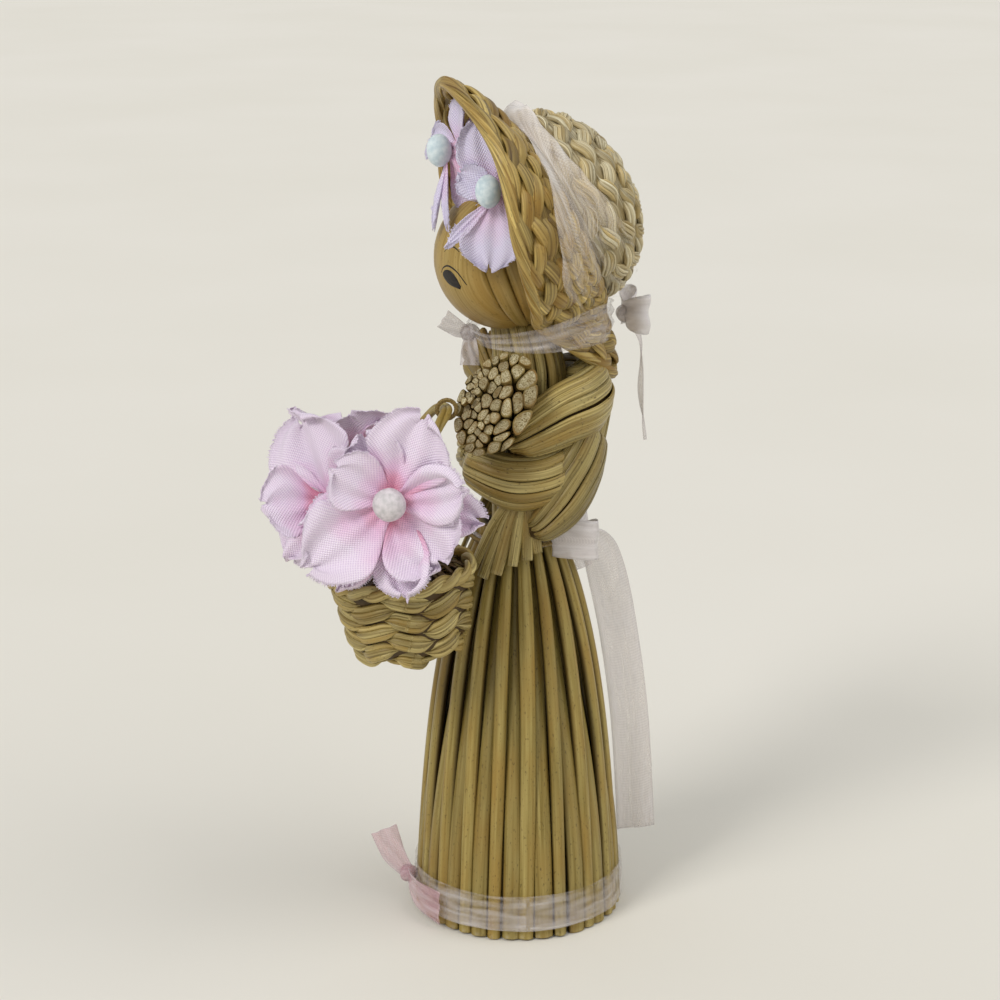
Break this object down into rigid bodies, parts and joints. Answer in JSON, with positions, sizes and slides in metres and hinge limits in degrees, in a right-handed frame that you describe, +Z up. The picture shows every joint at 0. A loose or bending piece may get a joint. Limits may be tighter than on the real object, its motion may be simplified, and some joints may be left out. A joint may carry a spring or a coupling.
{
  "type": "rush doll",
  "caption": "Standing lady doll of dried rush with a bell skirt of stems, plaited bodice, straw bonnet, sheer ribbons, cloth blossoms and a flower basket that swings on her arm.",
  "frame": {"origin": "middle of the skirt's foot, on the table", "axes": "+Z up through the head, the doll faces -Y and its left arm, which holds the basket, is at +X"},
  "size_m": [0.0568, 0.0686, 0.1503],
  "materials": {
    "rush": "dried rush stems, satin, olive-tan with dark seams",
    "leaf": "flattened rush leaf, satin amber-tan",
    "straw": "plaited golden leaf strands, satin",
    "card": "plain card, matte",
    "thread": "twisted thread, matte",
    "ribbon": "sheer organza, pale with a pink cast",
    "petal": "pale pink-lilac woven satin with frayed edges",
    "pip": "pearly greenish white"
  },
  "bodies": {
    "doll": {"skirt_stem_01": "rush", "skirt_stem_02": "rush", "skirt_stem_03": "rush", "skirt_stem_04": "rush", "skirt_stem_05": "rush", "skirt_stem_06": "rush", "skirt_stem_07": "rush", "skirt_stem_08": "rush", "skirt_stem_09": "rush", "skirt_stem_10": "rush", "skirt_stem_11": "rush", "skirt_stem_12": "rush", "skirt_stem_13": "rush", "skirt_stem_14": "rush", "skirt_stem_15": "rush", "skirt_stem_16": "rush", "skirt_stem_17": "rush", "skirt_stem_18": "rush", "skirt_stem_19": "rush", "base_disc": "card", "waist_thread": "thread", "head_ball": "rush", "face_leaf": "leaf", "cheek_leaf_left": "leaf", "cheek_leaf_right": "leaf", "bonnet_crown": "straw", "crown_wadding": "rush", "bonnet_brim": "straw", "crown_band": "ribbon", "chin_ribbon": "ribbon", "nape_bow": "ribbon", "bonnet_blossom_front": "petal", "bonnet_blossom_side": "petal", "bonnet_pip_front": "pip", "bonnet_pip_side": "pip", "body_bundle": "rush", "handle_tie": "thread", "left_arm": "rush", "right_arm": "rush", "shoulder_strand_left": "rush", "shoulder_strand_right": "rush", "chest_strand_left": "rush", "chest_strand_right": "rush", "back_strand_left": "rush", "back_strand_right": "rush", "spine_strand": "rush", "peplum_left": "rush", "peplum_right": "rush", "hem_ribbon": "ribbon", "waist_ribbon": "ribbon", "waist_ribbon_tail": "ribbon"},
    "basket": {"basket_bowl": "straw", "basket_filler": "rush", "basket_handle": "rush", "basket_blossom_left": "petal", "basket_pip_left": "pip", "basket_blossom_front": "petal", "basket_pip_front": "pip", "basket_blossom_top": "petal", "basket_pip_top": "pip"}
  },
  "joints": [
    {"name": "basket_swing", "type": "hinge", "parent": "doll", "child": "basket", "pos_m": [0.01417, -0.01378, 0.09659], "axis": [-1, 0, 0], "range_deg": [0, 30]}
  ]
}
